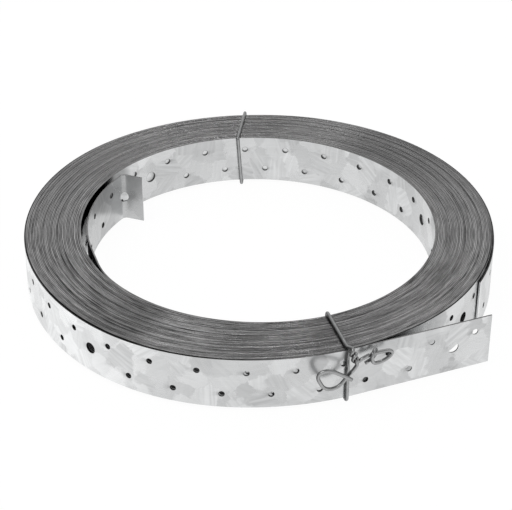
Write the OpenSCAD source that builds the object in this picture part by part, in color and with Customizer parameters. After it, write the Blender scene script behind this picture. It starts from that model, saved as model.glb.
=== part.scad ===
// Punched purlin strap: one galvanised strip wound into a tight coil that lies on its side.
// The outer end leaves the coil as a straight tail, and the inner end stands off the bore and ends in a bent tab.
// Two wire ties hold the coil. The origin is on the coil's axis, at the level of the ties' undersides.

/* [Strap] */
// Width of the strip
strap_width = 30; // [20:1:50]
// Thickness of the strip
strap_thickness = 0.8; // [0.6:0.1:1.2]

/* [Punched holes] */
// Diameter of a nail hole
nail_hole_d = 3.4; // [2.5:0.1:5]
// Diameter of a bolt hole
bolt_hole_d = 6.5; // [5:0.5:9]
// Distance from one hole to the next along the strip
hole_pitch = 12.7; // [11:0.1:18]
// Count of holes from one bolt hole to the next, an even number
bolt_hole_every = 16; // [8:2:24]
// Distance of each nail row from the centre line of the strip
row_offset = 6.75; // [5:0.25:7.5]

/* [Coil] */
// Radius of the bore
bore_radius = 101; // [80:1:150]
// Count of full turns under the outermost one
turns = 39; // [10:1:60]
// Air between one turn and the next
turn_gap = 0.025; // [0.02:0.005:0.1]
// Width of the bevel on the edges of each turn
edge_bevel = 0.15; // [0.05:0.05:0.25]
// Depth of the groove between two turns
groove_depth = 0.5; // [0.3:0.1:1]
// How far a turn sits above or below its neighbours
turn_shift = 0.15; // [0:0.05:0.25]

/* [Outer end] */
// Angle at which the outermost turn starts, lapped over the turn below
lap_angle = -26; // [-40:1:-10]
// Angle at which the tail leaves the coil
tail_angle = 293; // [292:1:305]
// Length of the straight tail
tail_length = 77; // [40:1:120]
// Angle of a bolt hole on the outermost turn
outer_bolt_angle = 229.4; // [220:0.1:235]
// Angle of a bolt hole on the turn that shows below the tail
lower_bolt_angle = 326.2; // [320:0.1:328]

/* [Inner end] */
// Distance that the inner end stands off the wall of the bore
inner_gap = 3.2; // [2:0.1:5]
// Radius at which the inner end curves off the wall
leave_radius = 60; // [45:1:70]
// Angle at which the inner end starts to leave the wall
leave_angle = 222; // [210:1:240]
// Angle at which the inner end is bent inwards
bend_angle = 147.5; // [140:0.5:160]
// Angle of a bolt hole on the wall of the bore
wall_bolt_angle = 15.9; // [5:0.1:25]
// Turn of the bend
tab_turn = 77; // [40:1:90]
// Radius of the bend at half the thickness
bend_radius = 3; // [2:0.5:6]
// Length of the flat tab past the bend
tab_length = 10.4; // [5:0.1:20]

/* [Tie wires] */
// Diameter of the wire
wire_d = 2; // [1:0.1:3]
// Air between a tie and the strip
tie_clearance = 0.15; // [0.1:0.05:0.5]
// Angle of the front tie around the coil
front_tie_angle = 290.6; // [280:0.1:291]
// Turn of the front tie away from the radius
front_tie_skew = -4; // [-15:1:15]
// Angle of the back tie around the coil
back_tie_angle = 95.3; // [85:0.1:105]
// Turn of the back tie away from the radius
back_tie_skew = -12; // [-15:1:15]

/* [Hidden] */

zinc = [0.78, 0.79, 0.80];
wire_grey = [0.55, 0.56, 0.57];

// Facets of the large circles and of the punched holes, and sides of the wire
coil_facets = 180;
hole_facets = 32;
wire_sides = 10;

// The ends of a tie are twisted together on the outside of the coil.
// Points are [out of the coil, along it, up from its top edge], for wire of the route's diameter.
route_wire_d = 2;
twist_r = 1.19;
twist_turns = 1.25;
// Foot and head of each twist: the front one stands off the rim, the back one lies flat on the coil
front_twist = [[3.5, 1.6, 0.9], [6.6, 3, -5.4]];
back_twist = [[2.15, 3, -13], [0.6, 13, -14.8]];
// How far down from the rim the wire on the outside of the coil leaves it for the twist
front_side_from = 4;
back_side_from = 19.5;
// The wire from the top and the wire from the side, into the twist and on to their loose ends
front_top_route = concat(
    [[-0.7, 0.1, 1.38], [1.5, 0.8, 2.15], [3.2, 1.5, 2.5]],
    strand(front_twist, 90),
    [
        [6, 0.2, -8.2], [5.8, -1.2, -11], [6, -3.8, -14.4], [6.5, -6.8, -17], [6.5, -11, -17.9],
        [6.5, -14.5, -16.4], [6.5, -17, -12.4], [6.5, -18, -9.4], [6.5, -17, -6.8], [7, -13.5, -5.6],
        [7.5, -10, -6.6], [8, -6.5, -8.6], [8.7, -3, -10.6], [8.9, -0.5, -12.6]
    ]
);
front_side_route = concat(
    [[1.22, 0.15, -1.8], [1.5, 0.7, -0.3]],
    strand(front_twist, -90),
    [
        [7.6, 5.8, -5.6], [6.9, 7.8, -6.6], [5.4, 9.8, -6.9], [4.6, 11.5, -6.3], [6.4, 12.3, -4.2],
        [4.2, 13.3, -1.9], [2.2, 14.3, -4.4], [4.4, 15.3, -6.4], [4.6, 17.3, -5], [3.6, 19.4, -3.9],
        [3, 21.6, -4.4], [3, 22.8, -6.4], [3.4, 20.8, -8.6], [3.8, 16, -9.3], [4.4, 10.5, -9.8]
    ]
);
back_top_route = concat(
    [[1.45, 0.1, -9.4], [2.4, 1.1, -11.5]],
    strand(back_twist, 45),
    [[0.8, 15.4, -17.4]]
);
back_side_route = concat(
    [[1.2, 0.1, -16.8], [1.42, 1.1, -14.7]],
    strand(back_twist, 225),
    [[0.1, 16.1, -12.8]]
);

// A hole keeps this much metal between its edge and the end of its stretch
hole_land = 0.5;
// Each turn's shift follows this angle, so that no two neighbours match
shift_step = 137.5;

turn_pitch = strap_thickness + turn_gap;
outer_turn_r = bore_radius + turns * turn_pitch;
outer_mid_r = outer_turn_r + strap_thickness / 2;
coil_r = outer_turn_r + strap_thickness;
inner_mid_r = bore_radius + strap_thickness / 2;
coil_face_r = outer_turn_r - turn_gap / 2;

wire_r = wire_d / 2;
coil_z = wire_d + tie_clearance + turn_shift;

// The inner end starts one thickness inside the wall, so that it comes out of it at a clear angle
join_r = inner_mid_r + strap_thickness;
free_r = inner_mid_r - inner_gap;
leave_offset = join_r - leave_radius;
leave_sweep = acos(1 - (join_r - free_r) / leave_offset);
link_length = leave_offset * sin(leave_sweep);
free_start = leave_angle - leave_sweep;

// Distances along the inner end, from the bolt hole in the middle of its bend
free_from = arc_length(bend_radius, tab_turn) / 2;
link_from = free_from + arc_length(free_r, free_start - bend_angle);
leave_from = link_from + link_length;

// Distance along the outermost turn from its bolt hole to the foot of the tail
tail_from = arc_length(outer_mid_r, tail_angle - outer_bolt_angle);

function arc_length(r, angle) = r * angle * PI / 180;
function arc_angle(r, along) = along / r * 180 / PI;
function reversed(list) = [for (i = [len(list) - 1:-1:0]) list[i]];
function unit(v) = v / norm(v);

// A smooth line through the points, with so many steps from each to the next
function smooth(p, steps) = concat(
    [for (i = [0:len(p) - 2], j = [0:steps - 1])
        let (a = p[max(i - 1, 0)], b = p[i], c = p[i + 1], d = p[min(i + 2, len(p) - 1)], t = j / steps)
            b + (c - a) * t / 2
                + (2 * a - 5 * b + 4 * c - d) * t * t / 2
                + (3 * b - a - 3 * c + d) * t * t * t / 2],
    [p[len(p) - 1]]
);

// A direction across the line, carried from each point to the next without turning about the line
function carried(along, i, across) = i == len(along) ? [] :
    let (turned = unit(across - (across * along[i]) * along[i]))
        concat([turned], carried(along, i + 1, turned));

// One strand of a twist, from its foot to its head
function strand(twist, phase) =
    let (
        length = twist[1] - twist[0],
        axis = unit(length),
        out = unit([1, 0, 0] - axis[0] * axis),
        aside = cross(out, axis),
        steps = 10
    )
        [for (i = [0:steps])
            let (turn = phase + 360 * twist_turns * i / steps)
                twist[0] + length * i / steps + twist_r * (cos(turn) * aside + sin(turn) * out)];

// A quarter turn of the wire in the XZ plane, clockwise from an angle
function corner(x, z, bend, from) = [
    for (i = [0:5]) [x + bend * cos(from - 18 * i), 0, z + bend * sin(from - 18 * i)]
];

function turn_r(i) = bore_radius + i * turn_pitch;
function shift_of(i) = turn_shift * sin(shift_step * i);
function is_bolt(k) = k % bolt_hole_every == 0;
function hole_d(k) = is_bolt(k) ? bolt_hole_d : nail_hole_d;
function hole_z(k) = strap_width / 2 + (is_bolt(k) ? 0 : k % 2 == 0 ? -row_offset : row_offset);
function hole_room(k) = hole_d(k) / 2 + hole_land;

// The hole numbers whose holes lie whole between two distances along the strip
function holes_between(from, to) = [
    for (k = [ceil(from / hole_pitch):floor(to / hole_pitch)])
        if (k * hole_pitch - hole_room(k) >= from && k * hole_pitch + hole_room(k) <= to) k
];

// Points along an arc, each with its centre, its radius and its angle
function arc_line(centre, r, from, to, first, steps) = [
    for (i = [first:steps]) [centre, r, from + (to - from) * i / steps]
];
// The same points, moved outwards from their centres
function moved_out(line, by) = [for (p = line) p[0] + (p[1] + by) * [cos(p[2]), sin(p[2])]];

// The edges of all full turns as one line from the bore outwards, side 1 at the top and -1 at the bottom
function turn_edges(z, side) = concat(
    [[bore_radius, z - side * groove_depth]],
    [for (i = [0:turns - 1]) each [
        [turn_r(i) + edge_bevel, z + shift_of(i)],
        [turn_r(i) + strap_thickness - edge_bevel, z + shift_of(i)],
        [turn_r(i + 1) - turn_gap / 2, z - side * groove_depth]
    ]]
);

// A hole along X through a stretch of strip whose middle layer is at the origin
module punch(k) {
    translate([-strap_thickness, 0, hole_z(k)])
        rotate([0, 90, 0])
            cylinder(d = hole_d(k), h = 2 * strap_thickness, $fn = hole_facets);
}

// A hole along X, one thickness deep, in a layer that starts at the origin and runs in or out
module pocket(k, inwards) {
    depth = strap_thickness;
    translate([inwards ? -depth : 0, 0, hole_z(k)])
        rotate([0, 90, 0])
            cylinder(d = hole_d(k), h = 2 * depth, $fn = hole_facets);
}

// All full turns, with the holes that show on the wall of the bore and below the tail
module full_turns() {
    wall_from = arc_length(inner_mid_r, leave_angle - 360 - wall_bolt_angle);
    wall_to = arc_length(inner_mid_r, free_start - wall_bolt_angle);
    lower_mid_r = outer_turn_r - strap_thickness / 2;
    lower_from = arc_length(lower_mid_r, tail_angle - lower_bolt_angle);
    lower_to = arc_length(lower_mid_r, lap_angle + 360 - lower_bolt_angle);
    difference() {
        rotate_extrude($fn = coil_facets)
            polygon(concat(turn_edges(strap_width, 1), reversed(turn_edges(0, -1))));
        for (k = holes_between(wall_from, wall_to))
            rotate([0, 0, wall_bolt_angle + arc_angle(inner_mid_r, k * hole_pitch)])
                translate([bore_radius, 0, 0])
                    pocket(k, true);
        for (k = holes_between(lower_from, lower_to))
            rotate([0, 0, lower_bolt_angle + arc_angle(lower_mid_r, k * hole_pitch)])
                translate([coil_face_r - strap_thickness, 0, 0])
                    pocket(k, false);
    }
}

// The outermost turn, from its lapped start to the foot of the tail, which is on the X axis
module outer_turn() {
    sunk_r = outer_turn_r - strap_thickness / 2;
    // The slope of the inner edge meets the turn below a little deeper than its groove
    edge_slope = 1.3 * groove_depth / (edge_bevel + turn_gap / 2);
    shoulder = edge_slope * (edge_bevel + strap_thickness / 2);
    lap_from = arc_length(outer_mid_r, lap_angle - outer_bolt_angle);
    difference() {
        rotate_extrude(angle = lap_angle - tail_angle, $fn = coil_facets)
            polygon([
                [sunk_r, shoulder],
                [outer_turn_r + edge_bevel, 0],
                [coil_r, 0],
                [coil_r, strap_width],
                [outer_turn_r + edge_bevel, strap_width],
                [sunk_r, strap_width - shoulder]
            ]);
        for (k = holes_between(lap_from, tail_from))
            rotate([0, 0, arc_angle(outer_mid_r, k * hole_pitch - tail_from)])
                translate([outer_turn_r, 0, 0])
                    pocket(k, false);
    }
}

// The straight free end on the outside, from the X axis onwards
module tail() {
    difference() {
        translate([outer_turn_r, 0, 0])
            cube([strap_thickness, tail_length, strap_width]);
        for (k = holes_between(tail_from, tail_from + tail_length))
            translate([outer_mid_r, k * hole_pitch - tail_from, 0])
                punch(k);
    }
}

// The free inner end, from inside the wall of the bore to the end of its bent tab
module inner_end() {
    leave_centre = leave_offset * [cos(leave_angle), sin(leave_angle)];
    bend_centre = (free_r - bend_radius) * [cos(bend_angle), sin(bend_angle)];
    tab_angle = bend_angle - tab_turn;
    tab_along = [sin(tab_angle), -cos(tab_angle)];
    line = concat(
        arc_line(leave_centre, leave_radius, leave_angle, free_start, 0, 12),
        arc_line([0, 0], free_r, free_start, bend_angle, 0, 24),
        arc_line(bend_centre, bend_radius, bend_angle, tab_angle, 1, 12),
        [[bend_centre + tab_length * tab_along, bend_radius, tab_angle]]
    );
    half = strap_thickness / 2;
    difference() {
        linear_extrude(height = strap_width)
            polygon(concat(moved_out(line, half), reversed(moved_out(line, -half))));
        translate([bend_centre[0], bend_centre[1], 0])
            rotate([0, 0, bend_angle - tab_turn / 2])
                translate([bend_radius, 0, 0])
                    punch(0);
        for (k = holes_between(free_from, link_from))
            rotate([0, 0, bend_angle + arc_angle(free_r, k * hole_pitch - free_from)])
                translate([free_r, 0, 0])
                    punch(k);
        for (k = holes_between(link_from, leave_from))
            rotate([0, 0, free_start])
                translate([free_r, k * hole_pitch - link_from, 0])
                    punch(k);
    }
}

module strap() {
    color(zinc)
        translate([0, 0, coil_z]) {
            full_turns();
            rotate([0, 0, tail_angle]) {
                outer_turn();
                tail();
            }
            inner_end();
        }
}

// Round wire along a line of points
module wire(path) {
    last = len(path) - 1;
    along = [for (i = [0:last]) unit(path[min(i + 1, last)] - path[max(i - 1, 0)])];
    across = carried(along, 0, [0.3, 0.5, 0.8]);
    points = [
        for (i = [0:last], j = [0:wire_sides - 1])
            let (turn = 360 * j / wire_sides)
                path[i] + wire_r * (cos(turn) * across[i] + sin(turn) * cross(along[i], across[i]))
    ];
    walls = [
        for (i = [0:last - 1], j = [0:wire_sides - 1])
            let (
                a = i * wire_sides + j,
                b = i * wire_sides + (j + 1) % wire_sides,
                c = b + wire_sides,
                d = a + wire_sides
            )
                each [[a, d, c], [a, c, b]]
    ];
    first_end = [for (j = [0:wire_sides - 1]) j];
    last_end = [for (j = [wire_sides - 1:-1:0]) last * wire_sides + j];
    polyhedron(points, concat(walls, [first_end, last_end]));
}

// A tie around the section of the coil, turned away from the radius by the skew.
// Its twist stands off the rim, or, if it wraps the rim, lies lower on the outside of the coil.
module tie(angle, skew, side_from, side_route, top_route, wraps) {
    reach = tie_clearance + wire_r;
    low_r = bore_radius - reach;
    high_r = coil_r + reach;
    mid_r = (low_r + high_r) / 2;
    side = mid_r * sin(skew);
    middle = mid_r * cos(skew);
    x_low = sqrt(low_r * low_r - side * side) - middle;
    x_high = sqrt(high_r * high_r - side * side) - middle;
    z_low = wire_r;
    z_high = coil_z + strap_width + turn_shift + reach;
    // The widest bend that stays clear of the corner of the strip, with a tenth to spare
    bend = 0.9 * (sqrt(2) * reach - wire_r) / (sqrt(2) - 1);
    curl = wire_d / route_wire_d;
    foot = [x_high - reach, 0, z_high - reach];
    side_run = [for (down = [6, 3, 0]) [x_high, 0, foot[2] - (side_from + down) * curl]];
    top_run = wraps
        ? [for (down = [3, 6.5]) [x_high, 0, foot[2] - down * curl]]
        : [for (back = [7.5, 3.75]) [foot[0] - back * curl, 0, z_high]];
    over_rim = wraps ? corner(x_high - bend, z_high - bend, bend, 90) : [];
    side_end = [for (p = side_route) foot + curl * p];
    top_end = [for (p = top_route) foot + curl * p];
    rotate([0, 0, angle])
        translate([mid_r, 0, 0])
            rotate([0, 0, skew])
                wire(concat(
                    reversed(smooth(concat(side_run, side_end), 2)),
                    corner(x_high - bend, z_low + bend, bend, 0),
                    corner(x_low + bend, z_low + bend, bend, -90),
                    corner(x_low + bend, z_high - bend, bend, 180),
                    over_rim,
                    smooth(concat(top_run, top_end), 2)
                ));
}

module front_tie() {
    color(wire_grey)
        tie(front_tie_angle, front_tie_skew, front_side_from, front_side_route, front_top_route, false);
}

module back_tie() {
    color(wire_grey)
        tie(back_tie_angle, back_tie_skew, back_side_from, back_side_route, back_top_route, true);
}

strap();
front_tie();
back_tie();
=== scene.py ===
"""Looks of the punched purlin strap: a galvanised strip wound in a spiral, and its two wire ties."""

import math

import bmesh
import bpy
import numpy as np
from mathutils import Matrix, Vector


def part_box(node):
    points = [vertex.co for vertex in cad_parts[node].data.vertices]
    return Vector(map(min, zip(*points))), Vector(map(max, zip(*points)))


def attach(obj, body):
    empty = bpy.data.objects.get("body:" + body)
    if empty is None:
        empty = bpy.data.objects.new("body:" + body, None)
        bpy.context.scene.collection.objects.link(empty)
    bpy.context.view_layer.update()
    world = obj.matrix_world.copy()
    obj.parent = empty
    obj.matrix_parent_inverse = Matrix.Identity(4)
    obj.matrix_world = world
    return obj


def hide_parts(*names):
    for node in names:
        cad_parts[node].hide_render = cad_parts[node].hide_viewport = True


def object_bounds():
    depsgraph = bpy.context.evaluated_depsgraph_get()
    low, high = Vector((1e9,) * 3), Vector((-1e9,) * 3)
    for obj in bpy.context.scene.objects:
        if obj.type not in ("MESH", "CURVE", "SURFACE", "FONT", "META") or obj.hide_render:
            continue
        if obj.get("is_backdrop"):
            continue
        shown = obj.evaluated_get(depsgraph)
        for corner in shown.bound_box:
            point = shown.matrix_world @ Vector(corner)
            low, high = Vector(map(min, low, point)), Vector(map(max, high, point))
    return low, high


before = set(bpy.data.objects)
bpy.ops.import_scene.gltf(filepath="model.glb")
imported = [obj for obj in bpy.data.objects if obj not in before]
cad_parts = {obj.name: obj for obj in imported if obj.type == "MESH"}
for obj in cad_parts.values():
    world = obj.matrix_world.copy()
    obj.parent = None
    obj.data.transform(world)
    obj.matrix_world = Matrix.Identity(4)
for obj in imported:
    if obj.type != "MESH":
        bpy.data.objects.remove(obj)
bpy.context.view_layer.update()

# Lengths are in millimetres until a mesh, a wire or the camera is made
MM = 0.001
BODY = "root"

# The strip and its holes
STRAP_W = 30.0
STRAP_T = 0.8
EDGE_ROUND = 0.1
NAIL_R = 1.7
BOLT_R = 3.25
HOLE_PITCH = 12.7
BOLT_EVERY = 16
ROW_OFFSET = 6.75
HOLE_LIP = 0.16
LIP_DEPTH = 0.08
# How far the edges of single turns stand past the width of the strip
EDGE_PLAY = 0.15

# The coil, with angles in degrees from +X towards +Y
BORE_R = 101.0
OUTER_MID_R = 133.575
TAIL_ANGLE = 293.0
TAIL_LENGTH = 77.0
LAP_ANGLE = -26.0
OUTER_BOLT_ANGLE = 229.4
LOWER_BOLT_ANGLE = 326.2
WALL_BOLT_ANGLE = 15.9
INNER_MID_R = BORE_R + STRAP_T / 2
LAYER = 0.825
LOWER_MID_R = OUTER_MID_R - LAYER

# The free inner end
FREE_R = 98.2
LEAVE_R = 60.0
FREE_START = 196.85
BEND_ANGLE = 147.5
TAB_TURN = 77.0
BEND_R = 3.0
TAB_LENGTH = 10.4

# The underside of the strip, above the floor
COIL_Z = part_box("strap")[0].z / MM + EDGE_PLAY

# The tie wires, each with its angle and how far it is turned on the rim
WIRE_R = 1.0
TIE_CLEARANCE = 0.15
FRONT_TIE = (290.6, -4.0)
BACK_TIE = (95.3, -12.0)


def deg(along, radius):
    """The angle of a length along a circle."""
    return math.degrees(along / radius)


def arc(radius, angle):
    """The length along a circle of an angle."""
    return radius * math.radians(angle)


def polar(radius, angle):
    """A point in plan and the direction away from the centre there."""
    c, s = math.cos(math.radians(angle)), math.sin(math.radians(angle))
    return np.array([radius * c, radius * s]), np.array([c, s])


def ease(x):
    """A smooth step from 0 to 1."""
    x = min(max(x, 0.0), 1.0)
    return x * x * (3 - 2 * x)


# The inner end curves off the wall of the bore, runs straight, follows the wall and bends into a tab
LEAVE_OFFSET = INNER_MID_R - LEAVE_R
LEAVE_SWEEP = math.degrees(math.acos(1 - (INNER_MID_R - FREE_R) / LEAVE_OFFSET))
LEAVE_ANGLE = FREE_START + LEAVE_SWEEP
LINK_LENGTH = LEAVE_OFFSET * math.sin(math.radians(LEAVE_SWEEP))
BEND_HALF = arc(BEND_R, TAB_TURN) / 2
FREE_END_AT = BEND_HALF + arc(FREE_R, FREE_START - BEND_ANGLE)
LINK_END_AT = FREE_END_AT + LINK_LENGTH
WALL_AT = LINK_END_AT + arc(LEAVE_R, LEAVE_SWEEP)
TAB_END_AT = -BEND_HALF - TAB_LENGTH

# The spiral of the full turns ends out of sight, well below the lapped start of the outermost turn
WHOLE_TURNS = 38
LAP_COVER = 100
SPIRAL_END = LAP_ANGLE + LAP_COVER + 360
SPIRAL_TURNS = WHOLE_TURNS + (TAIL_ANGLE - LEAVE_ANGLE) / 360
SPIRAL_PITCH = (LOWER_MID_R - INNER_MID_R) / SPIRAL_TURNS
SPIRAL_SWEEP = 360 * WHOLE_TURNS + SPIRAL_END - LEAVE_ANGLE


def inner_end(along):
    """The free inner end, by the length along it from the middle of its bend."""
    bend_centre = polar(FREE_R - BEND_R, BEND_ANGLE)[0]
    if along < -BEND_HALF:
        turned = BEND_ANGLE - TAB_TURN
        point, out = polar(BEND_R, turned)
        forward = np.array([out[1], -out[0]])
        return bend_centre + point + forward * (-BEND_HALF - along), out
    if along < BEND_HALF:
        point, out = polar(BEND_R, BEND_ANGLE - TAB_TURN / 2 + deg(along, BEND_R))
        return bend_centre + point, out
    if along < FREE_END_AT:
        return polar(FREE_R, BEND_ANGLE + deg(along - BEND_HALF, FREE_R))
    if along < LINK_END_AT:
        point, out = polar(FREE_R, FREE_START)
        forward = np.array([-out[1], out[0]])
        return point + forward * (along - FREE_END_AT), out
    centre = polar(LEAVE_OFFSET, LEAVE_ANGLE)[0]
    point, out = polar(LEAVE_R, FREE_START + deg(along - LINK_END_AT, LEAVE_R))
    return centre + point, out


# The coil isn't quite round: the ties pull it in, and it is looser between them
# Each pair is an angle and how far the rim or the wall of the bore lies outside its circle there
RIM_SHAPE = [
    (0, 0.1), (25, 0.75), (50, 0.05), (75, -0.9), (105, -0.85), (125, -0.2), (142, 0.75),
    (165, 0.1), (184, -0.35), (208, -0.2), (222, 0.6), (240, 1.7), (262, 0.9), (284, -1.05),
    (326, -0.2), (340, 0.0),
]
WALL_SHAPE = [
    (0, -0.5), (15, -0.7), (44, -1.4), (62, -1.0), (80, -0.5), (100, 0.2), (120, 0.45),
    (139, 0.6), (180, -0.2), (205, -1.0), (225, -1.2), (240, -1.05), (262, -1.0), (286, -0.25),
    (316, 0.2), (340, 0.2),
]
SLOW_WAVES = 9
# How deep a squeeze and a loose stretch at the wall reach into the coil, as shares of its thickness
SQUEEZE_REACH = 0.1
LOOSE_REACH = 0.4


def ring(knots):
    """A smooth run of values around the coil, one for each degree, through a few known ones."""
    values = np.interp(np.arange(360), [k[0] for k in knots], [k[1] for k in knots], period=360)
    waves = np.fft.rfft(values)
    waves[SLOW_WAVES:] = 0
    values = np.fft.irfft(waves, 360)
    return np.append(values, values[0])


RIM, WALL = ring(RIM_SHAPE), ring(WALL_SHAPE)


def warped(x, y):
    """Moves a point in plan from the round coil to the true one."""
    radius = math.hypot(x, y)
    angle = math.degrees(math.atan2(y, x)) % 360
    i = int(angle)
    part = angle - i
    rim = RIM[i] * (1 - part) + RIM[i + 1] * part
    wall = WALL[i] * (1 - part) + WALL[i + 1] * part
    depth = min(max((radius - BORE_R) / (OUTER_MID_R - BORE_R), 0.0), 1.0)
    reach = SQUEEZE_REACH if wall < 0 else LOOSE_REACH
    grow = 1 + (rim * depth + wall * math.exp(-depth / reach)) / radius
    return x * grow, y * grow


def bump(angle, centre, width):
    """A smooth rise around an angle."""
    gap = (angle - centre + 180) % 360 - 180
    return math.exp(-(gap / width) ** 2)


def uneven(t):
    """A wave that differs from each turn to the next, between about -1 and 1."""
    tau = 2 * math.pi
    first = math.sin(tau * 0.381 * t + 0.9 * math.sin(tau * 0.113 * t))
    second = math.sin(tau * 0.713 * t + 1.7)
    third = math.sin(tau * 1.367 * t + 0.6)
    return 0.45 * first + 0.35 * second + 0.2 * third


# How far single turns stand off an even spiral, and the last one off the others below the tail
TURN_PLAY = 0.045
UNCOVERED_PLAY = 0.3
UNCOVERED_ANGLE, UNCOVERED_SPREAD = 318, 14
LAST_STRETCH = 200


def spiral(swept):
    """The full turns, by the angle swept from where the inner end joins the wall."""
    turns = swept / 360
    angle = LEAVE_ANGLE + swept
    middle = ease(turns - 1) * ease((SPIRAL_SWEEP - swept) / 360 - 1)
    radius = INNER_MID_R + SPIRAL_PITCH * turns + TURN_PLAY * uneven(turns) * middle
    if SPIRAL_SWEEP - swept < LAST_STRETCH:
        radius += UNCOVERED_PLAY * bump(angle, UNCOVERED_ANGLE, UNCOVERED_SPREAD)
    return polar(radius, angle)


def outer_turn(along):
    """The outermost turn and the tail, by the length along them from the foot of the tail."""
    if along > 0:
        point, out = polar(OUTER_MID_R, TAIL_ANGLE)
        forward = np.array([-out[1], out[0]])
        return point + forward * along, out
    angle = TAIL_ANGLE + deg(along, OUTER_MID_R)
    over_end = LAYER * (1 - ease((angle + 360 - SPIRAL_END) / 18))
    # Its lapped start springs off the coil, and so does the turn between the ties
    off_coil = 0.4 * bump(angle, 222, 26) + 0.6 * (1 - ease((angle - LAP_ANGLE) / 36))
    radius = OUTER_MID_R + SPIRAL_PITCH * (angle - TAIL_ANGLE) / 360 + over_end + off_coil
    return polar(radius, angle)


def edge_height(swept):
    """How far a turn sits above or below its neighbours, by the angle swept along the spiral."""
    t = swept / 360
    wide = math.sin(2 * math.pi * t / 5.3 + 0.7 * math.sin(math.radians(swept * 0.9)))
    slow = math.sin(2 * math.pi * t / 13 + 1.2)
    return 0.16 * uneven(t * 1.31 + 5) + 0.10 * wide + 0.10 * slow


LAP_DROP = 2.1


def outer_height(along):
    """How far the outermost turn sits below the rim: most at its lapped start."""
    if along > 0:
        return 0.0
    angle = TAIL_ANGLE + deg(along, OUTER_MID_R)
    lap_drop = -LAP_DROP * (1 - ease((angle - LAP_ANGLE - 6) / 28))
    return lap_drop - 0.3 * bump(angle, 225, 30)


class MeshBuilder:
    """Collects the vertices and faces of the strip, with its own coordinates for the materials."""

    def __init__(self):
        self.points = []
        self.strip = []
        self.faces = []
        self.slots = []
        self.drag = []
        self.shade = []
        self.rim = []

    def vertex(self, place, across, height, along, lift, layer, drag=0.0, shade=0.0, rim=0.0):
        """A point of the strip: across its thickness, up its width and along its length."""
        point, out = place
        x, y = warped(*(point + out * across))
        self.points.append((x * MM, y * MM, (COIL_Z + height + lift) * MM))
        self.strip.append((along / 10, height / 10, layer))
        self.drag.append(drag)
        self.shade.append(shade)
        self.rim.append(rim)
        return len(self.points) - 1

    def face(self, corners, slot):
        """A face with its material."""
        self.faces.append(corners)
        self.slots.append(slot)


FACE, EDGE, CUT = 0, 1, 2
HALF = STRAP_T / 2
# The plain turns are drawn a little thin, so that the dark gaps between them show
THIN = 0.355
ROUND = 0.17
# Their section from the bottom of the inner face, round by the outer face, with each side's material
SECTION = [
    (-THIN, ROUND), (-THIN + ROUND, 0), (THIN - ROUND, 0), (THIN, ROUND),
    (THIN, STRAP_W - ROUND), (THIN - ROUND, STRAP_W),
    (-THIN + ROUND, STRAP_W), (-THIN, STRAP_W - ROUND),
]
SECTION_SLOTS = [EDGE, EDGE, EDGE, FACE, EDGE, EDGE, EDGE, FACE]
# Painted shade on the corners of an edge and a painted highlight along its middle
SECTION_EDGE_SHADE = [0.95, -0.45, -0.45, 0.95, 0.95, -0.45, -0.45, 0.95]


def plain_strip(builder, stations):
    """A stretch of strip without holes. A station is a place, a length along, a lift and a layer."""
    rings = []
    for place, along, lift, layer in stations:
        out_x, out_y = place[1]
        # The innermost turns have wider gaps at the left front
        thinner = 0.2 * math.exp(-layer / 5) * bump(math.degrees(math.atan2(out_y, out_x)), 232, 42)
        rings.append([builder.vertex(place, n * (1 - thinner), z, along, lift, layer, rim=rim)
                      for (n, z), rim in zip(SECTION, SECTION_EDGE_SHADE)])
    count = len(SECTION)
    for a, b in zip(rings, rings[1:]):
        for j in range(count):
            k = (j + 1) % count
            builder.face((a[j], b[j], b[k], a[k]), SECTION_SLOTS[j])
    builder.face(tuple(rings[0]), EDGE)
    builder.face(tuple(reversed(rings[-1])), EDGE)


def is_bolt(k):
    """Whether a hole is one of the large ones on the centre line."""
    return k % BOLT_EVERY == 0


def hole_radius(k):
    """The radius of a hole."""
    return BOLT_R if is_bolt(k) else NAIL_R


def hole_height(k):
    """The height of a hole's centre above the lower edge of the strip."""
    if is_bolt(k):
        return STRAP_W / 2
    return STRAP_W / 2 + (ROW_OFFSET if k % 2 else -ROW_OFFSET)


# Rows of the mesh across the strip: a block of rows around each of the three lines of holes
BLOCK_STEPS = 5
NAIL_BLOCK = 3.0
BLOCK_EDGES = [
    STRAP_W / 2 - ROW_OFFSET - NAIL_BLOCK, STRAP_W / 2 - ROW_OFFSET + NAIL_BLOCK,
    STRAP_W / 2 + ROW_OFFSET - NAIL_BLOCK, STRAP_W / 2 + ROW_OFFSET + NAIL_BLOCK,
]
ROWS = [EDGE_ROUND]
for low, high in zip(BLOCK_EDGES, BLOCK_EDGES[1:]):
    ROWS += [low + (high - low) * i / BLOCK_STEPS for i in range(BLOCK_STEPS)]
ROWS += [BLOCK_EDGES[-1], STRAP_W - EDGE_ROUND]
# Columns of the mesh along the strip: the longest step, and what is left free beside a hole and an end
COLUMN_STEP = 4.5
BLOCK_GAP = 0.3
END_GAP = 1.0


def first_row(k):
    """The lowest row of the block around a hole."""
    return 1 + BLOCK_STEPS * (1 if is_bolt(k) else 2 if k % 2 else 0)


def perimeter(low, high):
    """The grid places around a square block, once round from its lower left corner."""
    a, b = low
    c, d = high
    side = [(i, b) for i in range(a, c)] + [(c, j) for j in range(b, d)]
    return side + [(i, d) for i in range(c, a, -1)] + [(a, j) for j in range(d, b, -1)]


# The smear that the punch leaves beside a hole, and how far from a point its hole can lie
SMEAR_LENGTH = 3.2
SMEAR_WIDTH = 0.8
SMEAR_LEAD = 0.6
SMEAR_SEARCH = 8.0


def drag_mark(along, height, k, hole_at):
    """How strong the smear of a hole is at a point of the strip."""
    behind = hole_at - hole_radius(k) - along
    if behind < -SMEAR_LEAD or behind > SMEAR_LENGTH:
        return 0.0
    aside = (height - hole_height(k)) / SMEAR_WIDTH
    return math.exp(-aside ** 2) * (1 - max(behind, 0) / SMEAR_LENGTH)


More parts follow.
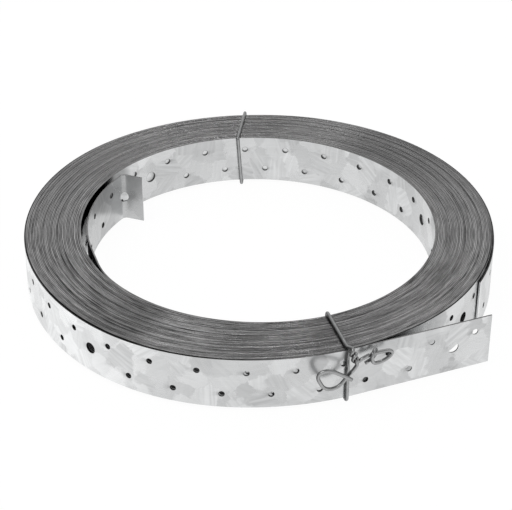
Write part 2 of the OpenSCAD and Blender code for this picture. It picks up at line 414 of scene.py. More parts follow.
# Sides of the strip: away from the centre, towards it, and the slit edges
OUTSIDE, INSIDE, RIM_SIDE = 0, 1, 2
FACES = ((OUTSIDE, HALF), (INSIDE, -HALF))


def punched_strip(builder, place, lift, start, end, holes, layer, shade):
    """A stretch of strip with holes: holes maps a hole's number to its length along the strip."""
    numbers = [k for k in sorted(holes) if start + END_GAP < holes[k] < end - END_GAP]
    bolt_block = (BLOCK_EDGES[2] - BLOCK_EDGES[1]) / 2
    columns, block_at = [start], {}
    for k in numbers:
        block = bolt_block if is_bolt(k) else NAIL_BLOCK
        room = min(block, holes[k] - columns[-1] - BLOCK_GAP, end - holes[k] - BLOCK_GAP)
        while holes[k] - room - columns[-1] > COLUMN_STEP:
            gap = holes[k] - room - columns[-1]
            columns.append(columns[-1] + gap / math.ceil(gap / COLUMN_STEP))
        block_at[k] = len(columns)
        columns += [holes[k] - room + 2 * room * i / BLOCK_STEPS for i in range(BLOCK_STEPS + 1)]
    last = columns[-1]
    steps = max(1, math.ceil((end - last) / COLUMN_STEP))
    columns += [last + (end - last) * (i + 1) / steps for i in range(steps)]

    rows = len(ROWS)
    inside = set()
    for k in numbers:
        for i in range(BLOCK_STEPS):
            for j in range(BLOCK_STEPS):
                inside.add((block_at[k] + i, first_row(k) + j))

    def face_vertex(side, across, along, height):
        """A point of a face, with the smears and the shade there."""
        near = [k for k in numbers if 0 < holes[k] - along < SMEAR_SEARCH]
        smear = max((drag_mark(along, height, k, holes[k]) for k in near), default=0.0)
        return builder.vertex(place(along), across, height, along, lift(along), layer(along),
                              smear, shade(along, height, side))

    grid = {}
    for side, across in FACES:
        for i, along in enumerate(columns):
            for j, height in enumerate(ROWS):
                grid[side, i, j] = face_vertex(side, across, along, height)
    for i in range(len(columns) - 1):
        for j in range(rows - 1):
            if (i, j) in inside:
                continue
            quad = [(i, j), (i + 1, j), (i + 1, j + 1), (i, j + 1)]
            builder.face(tuple(grid[(OUTSIDE,) + q] for q in quad), FACE)
            builder.face(tuple(grid[(INSIDE,) + q] for q in reversed(quad)), FACE)

    # The slit edges, and the two sheared ends
    rims = []
    flat = HALF - EDGE_ROUND
    for along in columns:
        where, up, turn = place(along), lift(along), layer(along)
        # Painted shade on the slit edge, from the same shade function
        dark = shade(along, STRAP_W, RIM_SIDE)
        rims.append([builder.vertex(where, n, z, along, up, turn, rim=dark)
                     for n, z in ((flat, 0), (-flat, 0), (-flat, STRAP_W), (flat, STRAP_W))])
    top = rows - 1
    for i in range(len(columns) - 1):
        a, b = rims[i], rims[i + 1]
        builder.face((grid[0, i + 1, 0], grid[0, i, 0], a[0], b[0]), EDGE)
        builder.face((b[0], a[0], a[1], b[1]), EDGE)
        builder.face((b[1], a[1], grid[1, i, 0], grid[1, i + 1, 0]), EDGE)
        builder.face((grid[1, i + 1, top], grid[1, i, top], a[2], b[2]), EDGE)
        builder.face((b[2], a[2], a[3], b[3]), EDGE)
        builder.face((b[3], a[3], grid[0, i, top], grid[0, i + 1, top]), EDGE)
    for i, flip in ((0, False), (len(columns) - 1, True)):
        loop = [grid[0, i, j] for j in range(rows)] + [rims[i][3], rims[i][2]]
        loop += [grid[1, i, j] for j in reversed(range(rows))] + [rims[i][1], rims[i][0]]
        builder.face(tuple(reversed(loop)) if flip else tuple(loop), FACE)

    # The holes: a rounded lip on both faces and the wall between them
    for k in numbers:
        centre, radius = hole_height(k), hole_radius(k)
        low = (block_at[k], first_row(k))
        around = perimeter(low, (low[0] + BLOCK_STEPS, low[1] + BLOCK_STEPS))
        loops = []
        for side, across in FACES:
            inner = across - math.copysign(LIP_DEPTH, across)
            for ring_r, ring_n in ((radius + HOLE_LIP, across), (radius, inner)):
                loop = []
                for i, j in around:
                    da, dz = columns[i] - holes[k], ROWS[j] - centre
                    size = math.hypot(da, dz)
                    along, height = holes[k] + da / size * ring_r, centre + dz / size * ring_r
                    loop.append(face_vertex(side, ring_n, along, height))
                loops.append(loop)
        count = len(around)
        for m in range(count):
            n = (m + 1) % count
            a, b = around[m], around[n]
            out0, in0, out1, in1 = loops
            builder.face((grid[(OUTSIDE,) + a], grid[(OUTSIDE,) + b], out0[n], out0[m]), FACE)
            builder.face((out0[m], out0[n], in0[n], in0[m]), FACE)
            builder.face((in0[m], in0[n], in1[n], in1[m]), CUT)
            builder.face((in1[m], in1[n], out1[n], out1[m]), CUT)
            builder.face((out1[m], out1[n], grid[(INSIDE,) + b], grid[(INSIDE,) + a]), FACE)


def hole_numbers(start, end):
    """The numbers of the holes between two lengths along the strip."""
    return range(math.ceil(start / HOLE_PITCH), math.floor(end / HOLE_PITCH) + 1)


def free_end_shade(along, height, side):
    """Painted shade and reflection: the back of the free end is dark, and its front is darker above a
    slanting line.
    """
    if side == RIM_SIDE:
        return 0.0
    if side == OUTSIDE:
        return 0.9 if along > BEND_HALF else 0.2
    if along < BEND_HALF:
        return 0.18 + 0.15 * ease((height - 11.5) / 5)
    angle = deg(along - BEND_HALF, FREE_R)
    below = 0.05 + 0.15 * ease(angle / 12)
    above = 0.52 * ease(angle / 14) - 0.04
    return below + (above - below) * ease((height - 2.8 - 0.96 * angle) / 2.5 + 0.5)


# Steps of the plain turns, in degrees
TURN_STEP = 3.75
# Where the holes of the last turn but one start to show through those over them
SHOWS_FROM = 194
# Holes on the right side of the last turns, past the bolt hole below the tail
LOWER_HOLES_TO = 26
# The outermost turn's number, for the tones of its material
OUTER_LAYER = 39.3
# How fast the holes of the last turns run out of step with those over them, and from which hole
STEP_SHIFT = 0.75
STEP_SHIFT_FROM = 5.5
# Keeps the numbers of their front holes apart from those on the right, in the same rows
NUMBER_SHIFT = 32 * BOLT_EVERY
# The holes that show at the front, counted from the outer bolt hole, on the last turn and the one before
LAST_FRONT = range(-34, 10)
BEFORE_FRONT = range(-6, 7)


def build_strap():
    """The whole strip: free inner end, full turns of the spiral, outermost turn and tail."""
    builder = MeshBuilder()

    def rise(swept):
        """The height of a turn, even where the inner end joins it."""
        return edge_height(swept) * ease(swept / 90)

    holes = {k: k * HOLE_PITCH for k in hole_numbers(TAB_END_AT, WALL_AT)}
    punched_strip(builder, inner_end, lambda s: 0.0, TAB_END_AT, WALL_AT, holes,
                  lambda s: 0.0, free_end_shade)

    # The first turn has its holes placed by the bolt hole on the wall of the bore
    def wall_swept(along):
        """The angle swept along the spiral."""
        return WALL_BOLT_ANGLE + 360 + deg(along, INNER_MID_R) - LEAVE_ANGLE

    def behind_free_end(along, height, side):
        """Painted shade: the wall of the bore is dark behind the free end."""
        angle = (WALL_BOLT_ANGLE + deg(along, INNER_MID_R)) % 360
        if side != INSIDE or not 139 < angle < 216:
            return 0.0
        dark = 0.45 + 0.54 * ease((angle - 146) / 12)
        dark = dark * ease((angle - 140) / 2.5) * ease((214 - angle) / 8)
        if angle < 149:
            dark *= ease((height - 16) / 4)
        # Painted light below, where the free end stands furthest off
        lit = ease((23.8 - height) / 2.5) * ease((angle - 168) / 4)
        return dark * (1 - lit) + min(dark, 0.2) * lit

    wall_start = arc(INNER_MID_R, LEAVE_ANGLE - 360 - WALL_BOLT_ANGLE)
    wall_end = wall_start + arc(INNER_MID_R, 360)
    holes = {k: k * HOLE_PITCH for k in hole_numbers(wall_start, wall_end)}
    punched_strip(builder, lambda s: spiral(wall_swept(s)), lambda s: rise(wall_swept(s)),
                  wall_start, wall_end, holes, lambda s: wall_swept(s) / 360, behind_free_end)

    def plain_turns(start, end):
        """The turns that show only their edges."""
        count = math.ceil((end - start) / TURN_STEP)
        stations = []
        for i in range(count + 1):
            swept = start + (end - start) * i / count
            along = arc(INNER_MID_R + SPIRAL_PITCH * swept / 720, swept)
            stations.append((spiral(swept), along, rise(swept), swept / 360))
        plain_strip(builder, stations)

    # The last turns show below the tail and through the holes of the turn over them
    # At the front their holes lie behind those of the outermost turn, and run out of step near the tie
    def last_holes(radius, front, right):
        """The holes of one of the last turns, by their lengths along it."""
        holes = {}
        for k in front:
            shift = STEP_SHIFT * max(k - STEP_SHIFT_FROM, 0)
            angle = OUTER_BOLT_ANGLE + deg(k * HOLE_PITCH + shift, OUTER_MID_R)
            holes[k - NUMBER_SHIFT] = arc(radius, angle - LOWER_BOLT_ANGLE)
        for k in right:
            holes[k] = arc(radius, deg(k * HOLE_PITCH, LOWER_MID_R))
        return holes

    def reached(angle, turns_in):
        """The angle swept up to one of the last turns."""
        return SPIRAL_SWEEP - SPIRAL_END + angle - 360 * turns_in

    def last_turn(radius, turns_in, start_angle, end_angle, holes):
        """One of the last turns, with its holes."""
        def swept(along):
            """The angle swept along the spiral."""
            return reached(LOWER_BOLT_ANGLE + deg(along, radius), turns_in)

        def below_tail(along, height, side):
            """Painted shade: dark in the wedge behind the tail and under the outermost turn."""
            angle = LOWER_BOLT_ANGLE + deg(along, radius)
            if side == INSIDE or (side == RIM_SIDE and turns_in > 0):
                return 0.0
            if side == RIM_SIDE:
                return 0.95 * ease((angle - 294) / 12) * ease((380 - angle) / 40)
            wedge = 0.85 * ease((angle - 291) / 3) * ease((314 - angle) / 14)
            wedge *= max(ease((height - 17) / 5), ease((301 - angle) / 4))
            return 0.7 * ease((266 - angle) / 8) + wedge

        start = arc(radius, start_angle - LOWER_BOLT_ANGLE)
        end = arc(radius, end_angle - LOWER_BOLT_ANGLE)
        punched_strip(builder, lambda s: spiral(swept(s)), lambda s: rise(swept(s)), start, end, holes,
                      lambda s: swept(s) / 360, below_tail)

    tail_side = arc(LOWER_MID_R, TAIL_ANGLE - LOWER_BOLT_ANGLE)
    right = hole_numbers(tail_side, arc(LOWER_MID_R, LOWER_HOLES_TO))
    plain_turns(360, reached(SHOWS_FROM, 1))
    radius = LOWER_MID_R - SPIRAL_PITCH
    last_turn(radius, 1, SHOWS_FROM, SPIRAL_END, last_holes(radius, BEFORE_FRONT, right))
    radius = LOWER_MID_R
    last_turn(radius, 0, SPIRAL_END - 360, SPIRAL_END, last_holes(radius, LAST_FRONT, right))

    # The outermost turn and the tail
    foot = arc(OUTER_MID_R, TAIL_ANGLE - OUTER_BOLT_ANGLE)
    lap = arc(OUTER_MID_R, LAP_ANGLE - TAIL_ANGLE)
    holes = {k: k * HOLE_PITCH - foot for k in hole_numbers(lap + foot, TAIL_LENGTH + foot)}

    def outer_shade(along, height, side):
        """Painted highlight at the sheared start and at the front, and painted shade as a dark edge on
        the rim.
        """
        angle = TAIL_ANGLE + deg(along, OUTER_MID_R)
        if side == RIM_SIDE:
            return 0.8 * ease((282 - angle) / 22) * (1 - bump(angle, 92, 38))
        if along < lap + 0.1:
            return -0.4
        if side == INSIDE:
            return 0.0
        return -0.37 * ease((angle - 170) / 20) * ease((256 - angle) / 30)

    punched_strip(builder, outer_turn, outer_height, lap, TAIL_LENGTH, holes,
                  lambda s: OUTER_LAYER, outer_shade)
    return builder


SHARP_ANGLE = math.radians(55)


def finish_mesh(builder, name, materials):
    """Makes the collected strip into an object with smooth shading and its own coordinates."""
    mesh = bpy.data.meshes.new(name)
    mesh.from_pydata(builder.points, [], builder.faces)
    for material in materials:
        mesh.materials.append(material)
    mesh.polygons.foreach_set("material_index", builder.slots)
    mesh.polygons.foreach_set("use_smooth", [True] * len(builder.faces))
    strip = mesh.attributes.new("strip", "FLOAT_VECTOR", "POINT")
    strip.data.foreach_set("vector", np.array(builder.strip, dtype=np.float32).ravel())
    for key, values in (("drag", builder.drag), ("shade", builder.shade), ("rim", builder.rim)):
        attribute = mesh.attributes.new(key, "FLOAT", "POINT")
        attribute.data.foreach_set("value", np.array(values, dtype=np.float32))
    mesh.validate()
    # Edges are sharp where two materials meet and round between the sides of a turn's edge
    work = bmesh.new()
    work.from_mesh(mesh)
    for edge in work.edges:
        if len(edge.link_faces) == 2:
            a, b = edge.link_faces
            same = a.material_index == b.material_index
            edge.smooth = same and edge.calc_face_angle(0) < SHARP_ANGLE
    work.to_mesh(mesh)
    work.free()
    obj = bpy.data.objects.new(name, mesh)
    bpy.context.scene.collection.objects.link(obj)
    return obj


# Materials


class Nodes:
    """A short way to write a node tree."""

    def __init__(self, name):
        self.material = bpy.data.materials.new(name)
        self.material.use_nodes = True
        self.tree = self.material.node_tree
        self.shader = self.tree.nodes["Principled BSDF"]

    def new(self, kind, inputs=None, **settings):
        """A node with its settings and inputs."""
        node = self.tree.nodes.new(kind)
        for key, value in settings.items():
            setattr(node, key, value)
        for key, value in (inputs or {}).items():
            self.set(node.inputs[key], value)
        return node

    def set(self, socket, value):
        """Links an input to another node, or gives it a value."""
        if isinstance(value, bpy.types.NodeSocket):
            self.tree.links.new(value, socket)
        else:
            socket.default_value = value

    def attribute(self, name, output="Fac"):
        """A value that the mesh carries."""
        node = self.new("ShaderNodeAttribute", attribute_name=name, attribute_type="GEOMETRY")
        return node.outputs[output]

    def math(self, operation, a, b=0.0, c=0.0, clamp=False):
        """A step of arithmetic."""
        node = self.new("ShaderNodeMath", {0: a, 1: b, 2: c}, operation=operation, use_clamp=clamp)
        return node.outputs[0]

    def vector(self, operation, a, b=(0, 0, 0), c=(0, 0, 0), output="Vector"):
        """A step of arithmetic with vectors."""
        node = self.new("ShaderNodeVectorMath", {0: a, 1: b, 2: c}, operation=operation)
        return node.outputs[output]

    def vary(self, value, noise, amount, clamp=False):
        """A value with a noise added to it, up and down."""
        return self.math("MULTIPLY_ADD", self.math("SUBTRACT", noise, 0.5), amount, value, clamp)

    def remap(self, value, low, high, to_low, to_high):
        """A value taken from one range to another."""
        node = self.new("ShaderNodeMapRange", {
            "Value": value, "From Min": low, "From Max": high, "To Min": to_low, "To Max": to_high})
        return node.outputs["Result"]

    def noise(self, vector, scale, detail=2.0, roughness=0.5, distortion=0.0, output="Fac"):
        """Cloudy noise at a place."""
        node = self.new("ShaderNodeTexNoise", {
            "Vector": vector, "Scale": scale, "Detail": detail, "Roughness": roughness,
            "Distortion": distortion})
        return node.outputs[output]

    def stretched(self, vector, scale):
        """A place with its own scale on each axis."""
        return self.vector("MULTIPLY", vector, scale)

    def colour(self, red, green, blue):
        """A colour from its three parts."""
        return self.new("ShaderNodeCombineColor", {"Red": red, "Green": green, "Blue": blue}).outputs[0]

    def grey(self, value):
        """A tone as a colour."""
        return self.colour(value, value, value)

    def tinted(self, value, tint):
        """A tone as a colour with a slight tint."""
        return self.colour(*(self.math("MULTIPLY", value, t) for t in tint))


ZINC_TINT = (0.99, 1.0, 1.005)
EDGE_TINT = (1.0, 0.992, 0.995)
CRYSTAL_SCALE = 0.8


def zinc_material():
    """Hot-dip zinc: large feathery crystals that each catch the light their own way."""
    n = Nodes("zinc_face")
    strip = n.attribute("strip", "Vector")
    drag = n.attribute("drag")
    shade = n.attribute("shade")
    flat = n.stretched(strip, (1.0, 1.0, 0.0))
    warp = n.noise(flat, 1.1, 4.0, 0.6, output="Color")
    warp = n.vector("SUBTRACT", warp, (0.5, 0.5, 0.5))
    moved = n.vector("MULTIPLY_ADD", warp, (1.5, 1.5, 0.0), flat)
    crystals = {"Vector": moved, "Scale": CRYSTAL_SCALE}
    soft = n.new("ShaderNodeTexVoronoi", {**crystals, "Smoothness": 0.18}, feature="SMOOTH_F1")
    hard = n.new("ShaderNodeTexVoronoi", crystals)
    tone = n.new("ShaderNodeSeparateColor", {"Color": soft.outputs["Color"]}).outputs["Red"]
    parts = n.new("ShaderNodeSeparateColor", {"Color": hard.outputs["Color"]})
    turn, sheen = parts.outputs["Green"], parts.outputs["Blue"]

    # Feathers: streaks that run their own way in each crystal
    angle = n.math("MULTIPLY", turn, 2 * math.pi)
    turned = n.new("ShaderNodeVectorRotate", {"Vector": flat, "Angle": angle}, rotation_type="Z_AXIS")
    feather = n.noise(n.stretched(turned.outputs[0], (0.5, 5.0, 1.0)), 1.0, 2.0, 0.5, 0.3)
    feather = n.remap(feather, 0.3, 0.7, -1.0, 1.0)
    strong = n.remap(sheen, 0.45, 0.75, 0.25, 1.0)
    feather = n.math("MULTIPLY", feather, strong)

    # Fine rolling lines and scratches along the strip, cloudy patches and dark specks
    rolled = n.noise(n.stretched(strip, (0.25, 22.0, 1.0)), 1.0)
    scratch = n.noise(n.stretched(strip, (0.35, 34.0, 3.0)), 1.0, 1.0)
    scratch = n.remap(scratch, 0.68, 0.74, 0.0, 1.0)
    cloud = n.noise(flat, 0.5, 3.0)
    speck = n.noise(flat, 13.0, 1.0)
    speck = n.remap(speck, 0.72, 0.78, 0.0, 1.0)

    value = n.math("MULTIPLY_ADD", tone, 0.19, 0.53)
    value = n.math("MULTIPLY_ADD", feather, 0.075, value)
    value = n.vary(value, rolled, 0.05)
    value = n.math("MULTIPLY_ADD", scratch, 0.07, value)
    value = n.vary(value, cloud, 0.16)
    value = n.math("MULTIPLY_ADD", speck, -0.13, value)
    value = n.math("MULTIPLY_ADD", drag, -0.22, value)
    # The shade value is painted shade that darkens the colour, and where it is below zero, a painted
    # highlight that lightens it
    light = n.math("SUBTRACT", 1.0, shade)
    value = n.math("MULTIPLY", value, light, clamp=True)
    n.set(n.shader.inputs["Base Color"], n.tinted(value, ZINC_TINT))

    rough = n.math("MULTIPLY_ADD", sheen, 0.10, 0.25)
    rough = n.math("MULTIPLY_ADD", feather, 0.02, rough)
    rough = n.math("MULTIPLY_ADD", drag, 0.15, rough, clamp=True)
    n.set(n.shader.inputs["Roughness"], rough)
    n.shader.inputs["Metallic"].default_value = 1.0
    # Deep shade keeps its dark tone at a flat angle too
    n.set(n.shader.inputs["Specular Tint"], n.grey(n.remap(shade, 0.6, 0.95, 1.0, 0.0)))

    height = n.math("MULTIPLY_ADD", rolled, 0.5, n.math("MULTIPLY", feather, 0.25))
    height = n.math("MULTIPLY_ADD", cloud, 1.5, height)
    bumps = n.new("ShaderNodeBump", {"Height": height, "Strength": 0.06, "Distance": 0.0003})
    n.set(n.shader.inputs["Normal"], bumps.outputs["Normal"])
    return n.material


def edge_material():
    """The slit edges: darker steel, each turn with its own tone, that glints across the coil."""
    n = Nodes("slit_edge")
    strip = n.attribute("strip", "Vector")
    rim = n.attribute("rim")
    place = n.new("ShaderNodeSeparateXYZ", {0: n.new("ShaderNodeTexCoord").outputs["Object"]})
    # The turns differ most at the front of the coil
    front = n.remap(place.outputs["Y"], -0.06, 0.06, 1.0, 0.45)
    turn = n.new("ShaderNodeSeparateXYZ", {0: strip}).outputs["Z"]

    def by_turn(scale):
        """A place that is the same all along a turn."""
        return n.new("ShaderNodeCombineXYZ", {"X": n.math("MULTIPLY", turn, scale)}).outputs[0]

    band = n.noise(by_turn(1.73), 1.0, 1.0)
    broad = n.noise(by_turn(0.31), 1.0)
    streak = n.noise(n.stretched(strip, (0.09, 0.0, 2.3)), 1.0, 3.0, 0.65)
    grain = n.noise(n.stretched(strip, (4.0, 1.0, 9.0)), 1.0)
    dash = n.noise(n.stretched(strip, (0.6, 0.0, 0.62)), 1.0, 2.0, 0.6)
    change = n.vary(0.0, band, 0.6)
    change = n.vary(change, dash, 0.7)
    change = n.vary(change, streak, 0.3)
    value = n.math("MULTIPLY_ADD", change, front, 0.27)
    value = n.vary(value, broad, 0.16)
    value = n.vary(value, grain, 0.10)
    # The rim value is painted shade on the corners of each edge and on the dark rim lines of the outer
    # turns, and a painted highlight along the middle of each edge
    value = n.math("MULTIPLY", n.math("MAXIMUM", value, 0.05), n.math("SUBTRACT", 1.0, rim))
    n.set(n.shader.inputs["Base Color"], n.tinted(value, EDGE_TINT))
    n.set(n.shader.inputs["Roughness"], n.remap(streak, 0.3, 0.7, 0.24, 0.3))
    n.shader.inputs["Metallic"].default_value = 1.0
    n.shader.inputs["Anisotropic"].default_value = 0.95
    n.shader.inputs["Anisotropic Rotation"].default_value = 0.25
    tangent = n.new("ShaderNodeTangent", direction_type="RADIAL", axis="Z").outputs["Tangent"]
    n.set(n.shader.inputs["Tangent"], tangent)
    return n.material


def cut_material():
    """The sheared walls of the punched holes: darker bare steel, made darker still as painted shade
    inside the holes.
    """
    n = Nodes("punched_wall")
    strip = n.attribute("strip", "Vector")
    grain = n.noise(strip, 30.0)
    n.set(n.shader.inputs["Base Color"], n.grey(n.remap(grain, 0.3, 0.7, 0.08, 0.2)))
    n.set(n.shader.inputs["Roughness"], n.remap(grain, 0.3, 0.7, 0.45, 0.6))
    n.shader.inputs["Metallic"].default_value = 1.0
    return n.material


def wire_material():
    """Drawn galvanised wire, darker than the strip and a little scuffed, with painted shade on its sides
    and underside.
    """
    n = Nodes("tie_wire")
    place = n.new("ShaderNodeTexCoord").outputs["Object"]
    patch = n.noise(place, 260.0, 3.0)
    fine = n.noise(place, 1500.0)
    # Painted shade: darker on the sides that face along the strip, and below
    normal = n.new("ShaderNodeNewGeometry").outputs["Normal"]
    around = n.vector("NORMALIZE", n.vector("CROSS_PRODUCT", (0, 0, 1), place))
    side = n.vector("DOT_PRODUCT", normal, around, output="Value")
    below = n.math("MULTIPLY", n.new("ShaderNodeSeparateXYZ", {0: normal}).outputs["Z"], -1.0)
    side_and_under_shade = n.math("MAXIMUM", n.math("ABSOLUTE", side), below)
    value = n.remap(side_and_under_shade, 0.3, 0.95, 0.37, 0.06)
    value = n.vary(value, patch, 0.22)
    value = n.vary(value, fine, 0.10, clamp=True)
    n.set(n.shader.inputs["Base Color"], n.tinted(value, ZINC_TINT))
    n.set(n.shader.inputs["Roughness"], n.remap(patch, 0.3, 0.7, 0.12, 0.24))
    n.shader.inputs["Metallic"].default_value = 1.0
    bumps = n.new("ShaderNodeBump", {"Height": fine, "Strength": 0.1, "Distance": 0.0001})
    n.set(n.shader.inputs["Normal"], bumps.outputs["Normal"])
    return n.material


# The ties


# Each twist has a foot and a head, and its strands make so many turns
TWIST_R = 1.19
TWIST_STEPS = 11
FRONT_TURNS = 1.0
BACK_TURNS = 1.25
FRONT_TWIST = ((3.4, 1.3, 1.0), (6.4, 2.3, -3.6))
BACK_TWIST = ((2.15, 3, -13), (0.6, 13, -14.8))


def strand(twist, phase, turns):
    """One strand of a twist, from its foot to its head."""
    foot, head = np.array(twist[0], dtype=float), np.array(twist[1], dtype=float)
    length = head - foot
    axis = length / np.linalg.norm(length)
    out = np.array([1.0, 0, 0]) - axis[0] * axis
    out = out / np.linalg.norm(out)
    aside = np.cross(out, axis)
    points = []
    for f in np.linspace(0, 1, TWIST_STEPS):
        turn = math.radians(phase + 360 * turns * f)
        points.append(foot + length * f + TWIST_R * (math.cos(turn) * aside + math.sin(turn) * out))
    return points


# Routes are set out from the rim of the coil: out of it, along it and up
FRONT_TOP_ROUTE = [(-0.7, 0.1, 1.38), (1.5, 0.8, 2.15), (3.2, 1.5, 2.5)]
FRONT_TOP_ROUTE += strand(FRONT_TWIST, 90, FRONT_TURNS)
FRONT_TOP_ROUTE += [
    (7.2, 2.6, -4.8), (6.7, 2, -6.8), (6.2, 0.9, -8.9), (5.8, -0.9, -11.2), (6, -3.6, -14.4),
    (6.5, -6.8, -17), (6.5, -11, -17.9), (6.5, -14.5, -16.4), (6.5, -17, -12.4), (6.5, -18, -9.4),
    (6.5, -17, -6.8), (7, -13.5, -5.6), (7.5, -10, -6.6), (8, -6.5, -8.6), (8.7, -3, -10.6),
    (8.9, -0.5, -12.6),
]
FRONT_SIDE_ROUTE = [(1.22, 0.15, -1.8), (1.5, 0.7, -0.3)]
FRONT_SIDE_ROUTE += strand(FRONT_TWIST, -90, FRONT_TURNS)
FRONT_SIDE_ROUTE += [
    (5.3, 4.3, -4.2), (5.3, 6.3, -3.1), (5.0, 8.2, -2.5), (4.7, 10.2, -2.1), (4.2, 12.8, -2.0),
    (3.9, 15.6, -1.9), (3.5, 18.8, -2.0), (3.2, 21.3, -2.3), (3.1, 23.0, -3.6), (3.4, 22.5, -5.2),
    (3.9, 20.6, -6.3), (4.5, 18.1, -7.1), (5.1, 15.1, -7.4), (5.8, 12.8, -6.8), (6.5, 11.3, -4.8),
    (6.7, 10.9, -2.2), (5.9, 11.6, -0.5), (4.3, 12.9, 0.1), (2.6, 14.1, -0.5), (1.85, 14.8, -2.2),
    (2.0, 14.3, -4.2), (2.7, 12.7, -5.6), (3.6, 10.5, -6.4), (4.2, 8.3, -7.0),
]
BACK_TOP_ROUTE = [(1.45, 0.1, -9.4), (2.4, 1.1, -11.5)]
BACK_TOP_ROUTE += strand(BACK_TWIST, 45, BACK_TURNS) + [(0.8, 15.4, -17.4)]
BACK_SIDE_ROUTE = [(1.2, 0.1, -16.8), (1.42, 1.1, -14.7)]
BACK_SIDE_ROUTE += strand(BACK_TWIST, 225, BACK_TURNS) + [(0.1, 16.1, -12.8)]
# How far below the rim the side wire leaves the coil, and how far the back tie leans along the bore
FRONT_SIDE_FROM = 4
BACK_SIDE_FROM = 19.5
BACK_LEAN = -2.3
ROUTE_STEPS = 4


def smooth(points):
    """A smooth line through the points."""
    p = [np.array(q, dtype=float) for q in points]
    line = []
    for i in range(len(p) - 1):
        a, b, c, d = p[max(i - 1, 0)], p[i], p[i + 1], p[min(i + 2, len(p) - 1)]
        for j in range(ROUTE_STEPS):
            t = j / ROUTE_STEPS
            line.append(b + (c - a) * t / 2 + (2 * a - 5 * b + 4 * c - d) * t * t / 2
                        + (3 * b - a - 3 * c + d) * t ** 3 / 2)
    line.append(p[-1])
    return line


CORNER_POINTS = 9


def corner(x, z, bend, start):
    """A quarter turn of the wire, clockwise from an angle."""
    angles = np.radians(np.linspace(start, start - 90, CORNER_POINTS))
    return [np.array([x + bend * math.cos(a), 0, z + bend * math.sin(a)]) for a in angles]


def tie_path(place, side_from, side_route, top_route, wraps, lean=0.0):
    """The route of a tie around the section of the coil, in the frame of the part."""
    angle, skew = place
    reach = TIE_CLEARANCE + WIRE_R
    low_r, high_r = BORE_R - reach, OUTER_MID_R + HALF + reach
    mid_r = (low_r + high_r) / 2
    side, middle = mid_r * math.sin(math.radians(skew)), mid_r * math.cos(math.radians(skew))
    x_low = math.sqrt(low_r ** 2 - side ** 2) - middle
    x_high = math.sqrt(high_r ** 2 - side ** 2) - middle
    z_low, z_high = WIRE_R, COIL_Z + STRAP_W + EDGE_PLAY + reach
    bend = 0.9 * (math.sqrt(2) * reach - WIRE_R) / (math.sqrt(2) - 1)
    foot = np.array([x_high - reach, 0, z_high - reach])
    side_run = [np.array([x_high, 0, foot[2] - side_from - down]) for down in (6, 3, 0)]
    top_run = [np.array([foot[0] - back, 0, z_high]) for back in (7.5, 3.75)]
    over_rim = []
    if wraps:
        top_run = [np.array([x_high, 0, foot[2] - down]) for down in (3, 6.5)]
        over_rim = corner(x_high - bend, z_high - bend, bend, 90)
    line = smooth(side_run + [foot + np.array(p) for p in side_route])[::-1]
    line += corner(x_high - bend, z_low + bend, bend, 0)
    line += corner(x_low + bend, z_low + bend, bend, -90)
    line += corner(x_low + bend, z_high - bend, bend, 180)
    line += over_rim
    inward = x_high - x_low
    for p in line:
        p[1] += lean * (1 - p[2] / z_high) * min(max((x_high - p[0]) / inward, 0), 1)
    line += smooth(top_run + [foot + np.array(p) for p in top_route])
    turn = Matrix.Rotation(math.radians(angle), 4, "Z")
    turn = turn @ Matrix.Translation((mid_r, 0, 0)) @ Matrix.Rotation(math.radians(skew), 4, "Z")
    placed = [turn @ Vector(p) for p in line]
    return [Vector((*warped(p.x, p.y), p.z)) for p in placed]


def tie_wire(name, node, path, material):
    """Round wire along a path, standing for a tie of the frame."""
    curve = bpy.data.curves.new(name, "CURVE")
    curve.dimensions = "3D"
    curve.bevel_depth = WIRE_R * MM
    curve.bevel_resolution = 4
    curve.use_fill_caps = True
    spline = curve.splines.new("POLY")
    spline.points.add(len(path) - 1)
    for point, p in zip(spline.points, path):
        point.co = (p.x * MM, p.y * MM, p.z * MM, 1.0)
    spline.use_smooth = True
    curve.materials.append(material)
    obj = bpy.data.objects.new(name, curve)
    bpy.context.scene.collection.objects.link(obj)
    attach(obj, BODY)
    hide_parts(node)


# Floor, light and camera


# The surround by the height of its direction: bright up to the first, dark from the second
SKY_FADE = (0.6, 0.8)
SKY_LOW = 0.7
SKY_HIGH = 0.32
# The floor: half its width in metres, its own glow, and the share of the glow in what is seen of it
FLOOR_HALF = 6.0
FLOOR_GLOW = 1.035
FLOOR_SHARE = 0.93


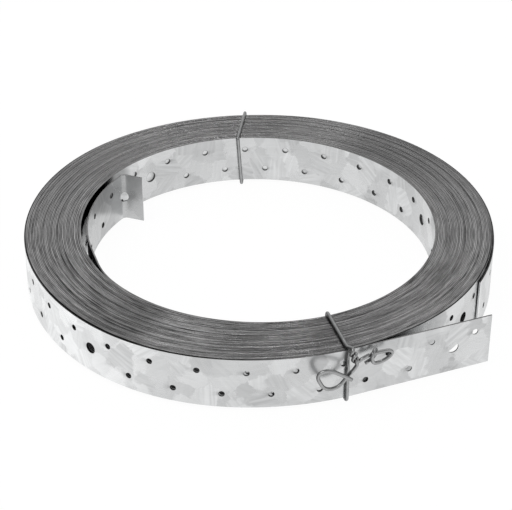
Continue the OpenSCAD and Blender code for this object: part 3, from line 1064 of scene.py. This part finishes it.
def add_floor():
    """A plain white floor that keeps a faint shadow."""
    n = Nodes("floor_white")
    n.shader.inputs["Base Color"].default_value = (0.9, 0.9, 0.9, 1)
    n.shader.inputs["Roughness"].default_value = 0.9
    n.shader.inputs["Specular IOR Level"].default_value = 0.0
    path = n.new("ShaderNodeLightPath")
    seen = n.math("MAXIMUM", path.outputs["Is Camera Ray"], path.outputs["Is Glossy Ray"])
    glow = n.new("ShaderNodeEmission", {"Color": (1, 1, 1, 1), "Strength": FLOOR_GLOW}).outputs[0]
    share = n.math("MULTIPLY", seen, FLOOR_SHARE)
    mix = n.new("ShaderNodeMixShader", {0: share, 1: n.shader.outputs[0], 2: glow}).outputs[0]
    n.set(n.tree.nodes["Material Output"].inputs["Surface"], mix)
    mesh = bpy.data.meshes.new("floor")
    corners = [(x * FLOOR_HALF, y * FLOOR_HALF, 0) for x, y in ((-1, -1), (1, -1), (1, 1), (-1, 1))]
    mesh.from_pydata(corners, [], [(0, 1, 2, 3)])
    mesh.materials.append(n.material)
    floor = bpy.data.objects.new("floor", mesh)
    bpy.context.scene.collection.objects.link(floor)
    floor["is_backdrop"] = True


def add_world():
    """A pale surround, white to the camera, bright low down and darker overhead."""
    world = bpy.data.worlds.new("studio")
    bpy.context.scene.world = world
    world.use_nodes = True
    tree = world.node_tree
    background = tree.nodes["Background"]
    background.inputs["Color"].default_value = (1, 1, 1, 1)
    path = tree.nodes.new("ShaderNodeLightPath")
    place = tree.nodes.new("ShaderNodeTexCoord")
    split = tree.nodes.new("ShaderNodeSeparateXYZ")
    tree.links.new(place.outputs["Generated"], split.inputs[0])
    overhead = tree.nodes.new("ShaderNodeMapRange")
    overhead.interpolation_type = "SMOOTHSTEP"
    overhead.inputs["From Min"].default_value = SKY_FADE[0]
    overhead.inputs["From Max"].default_value = SKY_FADE[1]
    overhead.inputs["To Min"].default_value = SKY_LOW
    overhead.inputs["To Max"].default_value = SKY_HIGH
    tree.links.new(split.outputs["Z"], overhead.inputs["Value"])
    strength = tree.nodes.new("ShaderNodeMix")
    strength.data_type = "FLOAT"
    tree.links.new(path.outputs["Is Camera Ray"], strength.inputs[0])
    tree.links.new(overhead.outputs["Result"], strength.inputs[2])
    strength.inputs[3].default_value = 1.0
    tree.links.new(strength.outputs[0], background.inputs["Strength"])


def add_light(name, location, size, power):
    """A soft panel of light that faces the middle of the coil."""
    light = bpy.data.lights.new(name, "AREA")
    light.shape = "RECTANGLE"
    light.size, light.size_y = size
    light.energy = power
    obj = bpy.data.objects.new(name, light)
    obj.location = location
    obj.rotation_mode = "QUATERNION"
    obj.rotation_quaternion = (-Vector(location)).to_track_quat("-Z", "Y")
    bpy.context.scene.collection.objects.link(obj)


# The camera fitted to the photograph, with angles in degrees
IMAGE_W = 512
FOCAL_PX = 1615.716
SENSOR = 36.0
CAMERA_MM = (0.0, -792.365, 512.058)
CAMERA_DOWN = 32.872
CAMERA_PAN = 0.077
CAMERA_TILT = 0.388
CAMERA_ROLL = -0.19


def add_camera():
    """A camera at the photograph's angle, set out from the underside of the strip."""
    down = math.radians(CAMERA_DOWN)
    forward = Vector((0, math.cos(down), -math.sin(down)))
    right = Vector((1, 0, 0))
    up = right.cross(forward)
    for angle, about in ((CAMERA_PAN, 2), (CAMERA_TILT, 1), (CAMERA_ROLL, 0)):
        axes = (forward, right, up)
        spin = Matrix.Rotation(math.radians(angle), 3, axes[about])
        forward, right, up = (spin @ a for a in axes)
    data = bpy.data.cameras.new("camera")
    data.sensor_fit = "HORIZONTAL"
    data.sensor_width = SENSOR
    data.lens = FOCAL_PX / IMAGE_W * SENSOR
    data.clip_start, data.clip_end = 0.01, 50
    obj = bpy.data.objects.new("camera", data)
    turn = Matrix((right, up, -forward)).transposed().to_4x4()
    place = Vector(CAMERA_MM) + Vector((0, 0, COIL_Z))
    obj.matrix_world = Matrix.Translation(place * MM) @ turn
    bpy.context.scene.collection.objects.link(obj)
    bpy.context.scene.camera = obj


strap = finish_mesh(build_strap(), "punched_strap", [zinc_material(), edge_material(), cut_material()])
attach(strap, BODY)
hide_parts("strap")

wire = wire_material()
front_path = tie_path(FRONT_TIE, FRONT_SIDE_FROM, FRONT_SIDE_ROUTE, FRONT_TOP_ROUTE, False)
tie_wire("front_tie_wire", "front_tie", front_path, wire)
back_path = tie_path(BACK_TIE, BACK_SIDE_FROM, BACK_SIDE_ROUTE, BACK_TOP_ROUTE, True, BACK_LEAN)
tie_wire("back_tie_wire", "back_tie", back_path, wire)

add_floor()
add_world()
add_light("key", (-0.75, -0.60, 1.6), (0.9, 0.7), 5)
add_light("fill", (0.74, 0.54, 1.42), (0.7, 0.7), 1.2)
add_light("back_right", (0.075, 1.12, 1.42), (0.1, 0.25), 0.5)
add_light("back_left", (-0.06, 1.12, 1.42), (0.1, 0.25), 0.2)
add_camera()
bpy.context.scene.view_settings.view_transform = "Standard"

low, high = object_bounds()
